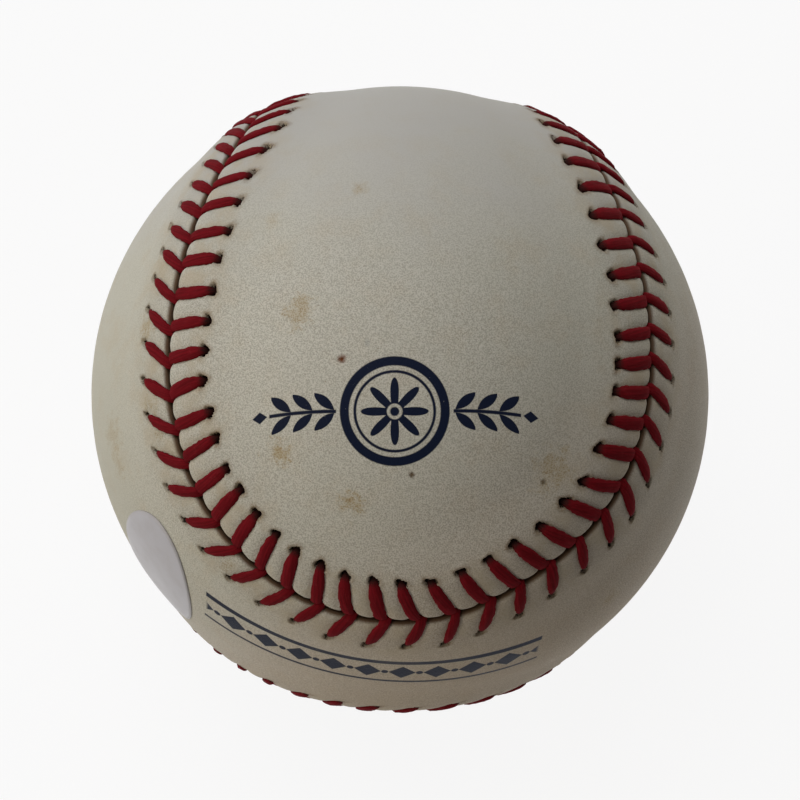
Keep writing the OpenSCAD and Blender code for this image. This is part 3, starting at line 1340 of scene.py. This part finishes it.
@dataclass
class NeedleThread:
    """One needle's unbroken run of thread through both panels."""

    seam: SeamCurve
    back: StitchPlan
    front: StitchPlan
    first_side: Side
    run_r: float
    node: str
    thick: float = 0.6 * MM
    hole_slack: float = 0.15 * MM
    wobble: float = 0.035 * MM
    sides: int = 12
    steps_per_point: int = 2
    seed: int = 5

    def path(self) -> tuple[np.ndarray, np.ndarray, np.ndarray, np.ndarray]:
        """Follows the thread through every stitch.

        Returns:
            Ring by ring, its centre, its width direction, its width and its stain.
        """
        place = np.arange(len(ARM))
        at = np.linspace(0, len(ARM) - 1, self.steps_per_point * (len(ARM) - 1) + 1)
        reach = np.interp(at, place, [point.reach for point in ARM])
        height = np.interp(at, place, [point.height for point in ARM]) * MM
        dark = np.interp(at, place, [point.dark for point in ARM])
        centres, alongs, widths = [], [], []
        for k in range(self.seam.stitch_count):
            side = self.first_side.value * (1 if k % 2 == 0 else -1)
            plan = self.back if side < 0 else self.front
            shares = [point.back_w if side < 0 else point.front_w for point in ARM]
            s = (plan.hole_reach + plan.hole_push[k] - self.hole_slack) * reach
            share = plan.share_at(np.full(len(at), k), s)
            u = self.seam.place(self.seam.first_stitch_share - k + share)
            r = np.maximum(self.seam.ball_r + height, self.run_r)
            centres.append(self.seam.spot(u, s * side, r))
            alongs.append(self.seam.frame(u)[1])
            widths.append(plan.arm_w * plan.width_factor[k] * np.interp(at, place, shares))
        darks = np.tile(dark, self.seam.stitch_count)
        return np.concatenate(centres), np.concatenate(alongs), np.concatenate(widths), darks

    def build(self, material: bpy.types.Material) -> None:
        """Builds the thread as one closed tube, which stands for the CAD thread.

        Args:
            material: the thread's finish.
        """
        centres, alongs, widths, darks = self.path()
        tangent = np.roll(centres, -1, axis=0) - np.roll(centres, 1, axis=0)
        tangent /= np.linalg.norm(tangent, axis=1, keepdims=True)
        across = alongs - (alongs * tangent).sum(1, keepdims=True) * tangent
        across /= np.linalg.norm(across, axis=1, keepdims=True)
        normal = np.cross(tangent, across)
        rings = len(centres)
        uneven = np.random.default_rng(self.seed).normal(0, self.wobble, (rings, self.sides))

        def place(i: np.ndarray, j: np.ndarray) -> Placed:
            """Places points round each ring, starting underneath.

            Args:
                i: rings along the thread.
                j: sides round it.

            Returns:
                The points and the numbers that they carry.
            """
            ring = i % rings
            angle = 2 * np.pi * j / self.sides - np.pi / 2
            extra = uneven[ring, j % self.sides]
            side_step = across[ring] * (np.cos(angle) * (widths[ring] / 2 + extra))[:, None]
            up_step = normal[ring] * (np.sin(angle) * (self.thick / 2 + extra * 0.5))[:, None]
            return centres[ring] + side_step + up_step, {"end_dark": darks[ring]}

        bm = new_sheet_mesh("end_dark")
        sheet(bm, rings, self.sides, place)
        piece = finish_mesh(bm, self.node.replace("_thread", "_stitching"), material)
        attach(piece, "root")
        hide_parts(self.node)


@dataclass
class BlankLabel:
    """The oval blank film on the front panel, pressed down onto the leather."""

    seam: SeamCurve
    panel: CoverPanel
    azimuth: float = 223.4
    elevation: float = 0.3
    lean: float = 5.0
    width: float = 12.3 * MM
    length: float = 21.0 * MM
    thick: float = 0.12 * MM
    seat: float = 0.03 * MM
    rim_soft: float = 0.03 * MM
    rings: int = 14
    spokes: int = 72
    seam_points: int = 2000

    def outline(self, spoke: np.ndarray, share: np.ndarray) -> np.ndarray:
        """Directions of points on the oval.

        Args:
            spoke: angles round the oval.
            share: shares of the way from its middle to its rim.

        Returns:
            One unit vector for each point.
        """
        out, right, up = bearings(self.azimuth, self.elevation)
        lean = math.radians(self.lean)
        x = np.cos(spoke) * share * self.width / 2 / self.seam.ball_r
        y = np.sin(spoke) * share * self.length / 2 / self.seam.ball_r
        across = x * math.cos(lean) - y * math.sin(lean)
        upward = x * math.sin(lean) + y * math.cos(lean)
        depth = np.sqrt(1 - across * across - upward * upward)
        return out * depth[:, None] + right * across[:, None] + up * upward[:, None]

    def build(self, material: bpy.types.Material) -> None:
        """Builds the label as a thin curved oval, which stands for the CAD label.

        Args:
            material: the film.
        """
        rows = 2 * self.rings + 1
        none = np.zeros(self.seam_points)
        line = self.seam.spot(np.linspace(0, 1, self.seam_points), none, none + 1)

        def place(i: np.ndarray, j: np.ndarray) -> Placed:
            """Places points from the middle of the face over the rim to the middle of the back.

            Args:
                i: spokes round the oval.
                j: rings over the face and back.

            Returns:
                The points and the numbers that they carry.
            """
            on_face = j <= self.rings
            share = np.where(on_face, j, rows - j) / self.rings
            points = self.outline(2 * np.pi * i / self.spokes, share)
            away = np.arccos(np.clip(points @ line.T, -1, 1)).min(1) * self.seam.ball_r
            low = self.seam.ball_r + self.panel.ramp(away) + self.seat
            soft = np.where(share > 0.99, self.rim_soft, 0)
            r = np.where(on_face, low + self.thick - soft, low)
            return points * r[:, None], {"rim": smooth(0.93, 1.0, share)}

        bm = new_sheet_mesh("rim")
        sheet(bm, self.spokes, rows, place)
        piece = finish_mesh(bm, "blank_film", material)
        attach(piece, "root")
        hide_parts("blank_label")


CORK = GranuleFinish("pressed_cork", srgb(196, 158, 112), srgb(92, 58, 34), 1.4 * MM, 0.2 * MM, 0.75)
BLACK_RUBBER = GranuleFinish("black_rubber", srgb(44, 43, 41), srgb(28, 27, 26), 0.5 * MM, 0.02 * MM, 0.6)
RED_RUBBER = GranuleFinish("red_rubber", srgb(170, 60, 50), srgb(140, 44, 38), 0.6 * MM, 0.02 * MM, 0.6)
FOUR_PLY_WOOL = YarnFinish("four_ply_grey_wool", srgb(150, 152, 156), srgb(84, 86, 90), 2.0 * MM)
WHITE_WOOL = YarnFinish("three_ply_white_wool", srgb(226, 221, 208), srgb(166, 160, 146), 1.6 * MM)
GREY_WOOL = YarnFinish("three_ply_grey_wool", srgb(156, 158, 160), srgb(90, 92, 94), 1.6 * MM)
COTTON = YarnFinish("white_cotton_blend", srgb(232, 228, 216), srgb(180, 174, 160), 0.7 * MM)
# The cement is coloured dark brown as painted shade, for where it shows through the seam gap and the awl
# holes.
CEMENT_PAINTED_SHADE = GranuleFinish("dried_cement_painted_shade", srgb(74, 58, 38), srgb(44, 33, 21), 0.9 * MM, 0.03 * MM, 0.5)
CORE_FINISHES = {
    "cork_core": CORK,
    "lower_rubber_shell": BLACK_RUBBER,
    "upper_rubber_shell": BLACK_RUBBER,
    "rubber_washer": RED_RUBBER,
    "rubber_jacket": RED_RUBBER,
    "inner_grey_winding": FOUR_PLY_WOOL,
    "white_winding": WHITE_WOOL,
    "outer_grey_winding": GREY_WOOL,
    "finishing_winding": COTTON,
    "cement_coat": CEMENT_PAINTED_SHADE,
}


@dataclass
class WoundCore:
    """The layers inside the cover, which keep their CAD shapes."""

    finishes: dict[str, GranuleFinish | YarnFinish]

    def dress(self) -> None:
        """Gives each inner layer its finish."""
        made = {finish: finish.material() for finish in dict.fromkeys(self.finishes.values())}
        for node, finish in self.finishes.items():
            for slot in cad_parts[node].material_slots:
                slot.material = made[finish]
            log.info("%s: %s", node, finish.name)


@dataclass(frozen=True)
class Lamp:
    """A square soft lamp; its way points towards it, as right, up and back for the camera."""

    name: str
    way: Way
    power: float
    colour: Rgb
    distance: float = 1.1
    size: float = 0.9


LAMPS = (
    Lamp("key", (-0.3, 0.7, 0.8), 5.25, (1.0, 0.98, 0.99)),
    Lamp("sky", (-0.2, 1.0, 0.3), 2.48, (0.85, 0.88, 1.0)),
    Lamp("window_side", (-1.0, 0.1, 0.35), 1.78, (0.99, 0.97, 1.0)),
    Lamp("low_side", (-1.0, -0.32, 0.65), 2.45, (1.0, 0.89, 0.7), size=0.6),
    Lamp("far_side", (0.8, 0.8, -0.1), 1.39, (1.0, 0.89, 0.7)),
)


@dataclass
class Studio:
    """Pale floor, soft light and the camera."""

    ball_r: float
    lamps: tuple[Lamp, ...]
    toward_camera: Way = (-0.02407, -0.43347, 0.90085)
    camera_up: Way = (-0.08586, 0.89867, 0.43013)
    distance_share: float = 9.70167
    lens: float = 134.0
    clip: Span = (0.01, 20.0)
    drop: float = 0.62 * MM
    floor_half: float = 3.0
    floor_tone: Rgb = (0.86, 0.86, 0.86)
    floor_glow: float = 0.9
    ambient: Rgb = (0.045, 0.04, 0.031)
    backdrop: Rgb = (1.0, 1.0, 1.0)

    def axes(self) -> tuple[Vector, Vector, Vector]:
        """The camera's right, up and backward directions.

        Returns:
            The three unit vectors.
        """
        back = Vector(self.toward_camera).normalized()
        right = Vector(self.camera_up).cross(back).normalized()
        return right, back.cross(right), back

    def camera(self) -> None:
        """Places the camera."""
        right, up, back = self.axes()
        data = bpy.data.cameras.new("camera")
        data.lens = self.lens
        data.clip_start, data.clip_end = self.clip
        camera = bpy.data.objects.new("camera", data)
        turn = Matrix((right, up, back)).transposed().to_4x4()
        place = back * self.ball_r * self.distance_share - up * self.drop
        camera.matrix_world = Matrix.Translation(place) @ turn
        bpy.context.scene.collection.objects.link(camera)
        bpy.context.scene.camera = camera

    def lamp(self, lamp: Lamp) -> None:
        """Adds a lamp that faces the ball.

        Args:
            lamp: the lamp.
        """
        right, up, back = self.axes()
        way = (right * lamp.way[0] + up * lamp.way[1] + back * lamp.way[2]).normalized()
        data = bpy.data.lights.new(lamp.name, "AREA")
        data.size = lamp.size
        data.energy = lamp.power
        data.color = lamp.colour
        piece = bpy.data.objects.new(lamp.name, data)
        piece.location = way * lamp.distance
        piece.rotation_euler = way.to_track_quat("Z", "Y").to_euler()
        bpy.context.scene.collection.objects.link(piece)

    def plain_rays(self, shader: Shader) -> Sock:
        """Tells apart the rays that show the surroundings from those that carry light.

        Args:
            shader: the shader that asks.

        Returns:
            1 for camera, glossy and transmission rays, 0 for the rest.
        """
        kinds = ("Is Camera Ray", "Is Glossy Ray", "Is Transmission Ray")
        camera, glossy, through = (shader.node("ShaderNodeLightPath", out=kind) for kind in kinds)
        return camera.most(glossy).most(through)

    def world(self) -> None:
        """Makes the surroundings white to look at and dimmer as a source of light."""
        world = bpy.data.worlds.new("studio")
        bpy.context.scene.world = world
        world.use_nodes = True
        shader = Shader(world.node_tree, "ShaderNodeOutputWorld")
        colour = shader.mix(self.plain_rays(shader), self.ambient, self.backdrop)
        shader.show(shader.node("ShaderNodeBackground", {}, {"Color": colour}))

    def floor(self) -> None:
        """Lays the pale floor under the ball."""
        bm = bmesh.new()
        bmesh.ops.create_grid(bm, x_segments=1, y_segments=1, size=self.floor_half)
        bmesh.ops.translate(bm, verts=bm.verts, vec=(0, 0, cad_box[0][2]))
        mesh = bpy.data.meshes.new("floor")
        bm.to_mesh(mesh)
        bm.free()
        shader = Surface("pale_floor")
        share = self.plain_rays(shader) * self.floor_glow
        glow = shader.node("ShaderNodeEmission")
        shader.show(shader.node("ShaderNodeMixShader", {}, {0: share, 1: shader.lit, 2: glow}))
        mesh.materials.append(shader.dress(Base_Color=self.floor_tone, Roughness=0.9))
        floor = bpy.data.objects.new("floor", mesh)
        bpy.context.scene.collection.objects.link(floor)

    def build(self) -> None:
        """Sets up the whole studio."""
        self.camera()
        self.world()
        self.floor()
        for lamp in self.lamps:
            self.lamp(lamp)
        bpy.context.scene.view_settings.view_transform = "Standard"


# Marks on the side that shows, then four small dots, then marks on the far side
STAINS = (
    Stain(-121.5, 47.2, 1.7, 0.75),
    Stain(-101.3, 44.5, 1.6, 0.75),
    Stain(-50.1, 44.6, 2.4, 0.5),
    Stain(-149.6, 66.4, 1.9, 0.5),
    Stain(132.9, 73.4, 1.0, 0.4),
    Stain(166.1, 63.0, 1.1, 0.35),
    Stain(176.6, 40.0, 1.5, 0.4),
    Stain(-169.7, 37.0, 1.8, 0.5),
    Stain(-153.9, 33.2, 1.7, 0.5),
    Stain(-148.5, 31.0, 1.6, 0.4),
    Stain(-157.7, 16.6, 2.2, 0.3),
    Stain(-153.0, 14.3, 1.8, 0.3),
    Stain(-121.4, 21.4, 1.6, 0.35),
    Stain(-45.8, 8.2, 1.8, 0.4),
    Stain(-120.4, 66.5, 0.55, 1.0, srgb(62, 28, 12), srgb(112, 66, 38)),
    Stain(-87.2, 50.9, 0.42, 1.0, srgb(52, 38, 26), srgb(112, 96, 76)),
    Stain(-53.9, 44.1, 0.42, 1.0, srgb(52, 40, 28), srgb(112, 98, 78)),
    Stain(-114.0, 71.0, 0.5, 0.35, srgb(90, 92, 90), srgb(150, 154, 150)),
    Stain(60.0, 20.0, 1.9, 0.5),
    Stain(100.0, -30.0, 2.3, 0.45),
    Stain(20.0, -50.0, 1.6, 0.5),
    Stain(-30.0, -38.0, 2.0, 0.4),
    Stain(150.0, -12.0, 1.5, 0.5),
    Stain(-100.0, -60.0, 2.1, 0.45),
)
TUGS = (
    Tug(0.46, 0.02, 2.4, 0.0, 0.0, front_out=2.0),
    Tug(0.435, 0.015, 0.0, 1.15, 0.0, front_in=-1.9),
    Tug(0.425, 0.03, -0.5, -2.3, 0.2),
    Tug(0.37, 0.022, -0.45, -0.1, -0.9),
    Tug(0.315, 0.03, -0.25, 0.0, -0.2),
    Tug(0.24, 0.025, -0.1, 0.85, 0.6),
    Tug(0.208, 0.018, -1.2, 0.1, 0.3),
    Tug(0.163, 0.02, 0.3, -0.75, 0.1),
    Tug(0.118, 0.018, 0.0, 0.4, 0.6),
    Tug(0.085, 0.025, -1.3, 1.5, 0.1, front_out=-1.6),
    Tug(0.56, 0.03, 0.4, 0.6, -0.3),
    Tug(0.68, 0.025, -0.5, -0.5, 0.4),
    Tug(0.75, 0.03, 1.2, -0.8, 0.0),
    Tug(0.81, 0.03, 0.5, 0.5, 0.3),
    Tug(0.93, 0.025, -0.4, -0.6, -0.3),
)
PRINTS = (
    Medallion(azimuth=-94.2, elevation=61.3, roll=9.0),
    BorderRule(azimuth=-92.3, elevation=5.6, roll=-1.0),
)


def main() -> None:
    """Builds the ball in order and reports each piece."""
    cement_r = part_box("cement_coat")[1].z
    leather_in_r = cement_r + LEATHER_GAP
    ball_r = leather_in_r + LEATHER_T
    seam = SeamCurve(ball_r, TUGS)
    back = StitchPlan(seam, Side.BACK, hole_reach=5.15 * MM, hole_share=0.40, entry_share=0.11,
                      arm_w=1.5 * MM, seed=17)
    front = StitchPlan(seam, Side.FRONT, hole_reach=4.6 * MM, hole_share=0.54, entry_share=-0.06,
                       arm_w=1.3 * MM, seed=29)
    Studio(ball_r, LAMPS).build()
    back_panel = CoverPanel(seam, back, leather_in_r, "back_cover_panel")
    front_panel = CoverPanel(seam, front, leather_in_r, "front_cover_panel", hole_w=0.75 * MM,
                             hole_l=0.8 * MM, puff=0.1 * MM, roll_h=0.5 * MM,
                             groove_start_share=0.2, smudge_share=0.7, fray_share=0.15)
    cowhide = LeatherFinish("cover_leather", ball_r, STAINS, PRINTS).material()
    back_panel.build(cowhide)
    front_panel.build(cowhide)
    thread = ThreadFinish("waxed_thread", seam.stitch_count).material()
    run_r = cement_r + THREAD_LIFT
    NeedleThread(seam, back, front, Side.BACK, run_r, "first_needle_thread").build(thread)
    NeedleThread(seam, back, front, Side.FRONT, run_r, "second_needle_thread").build(thread)
    BlankLabel(seam, front_panel).build(LabelFinish("blank_film").material())
    WoundCore(CORE_FINISHES).dress()


if __name__ == "__main__":
    main()
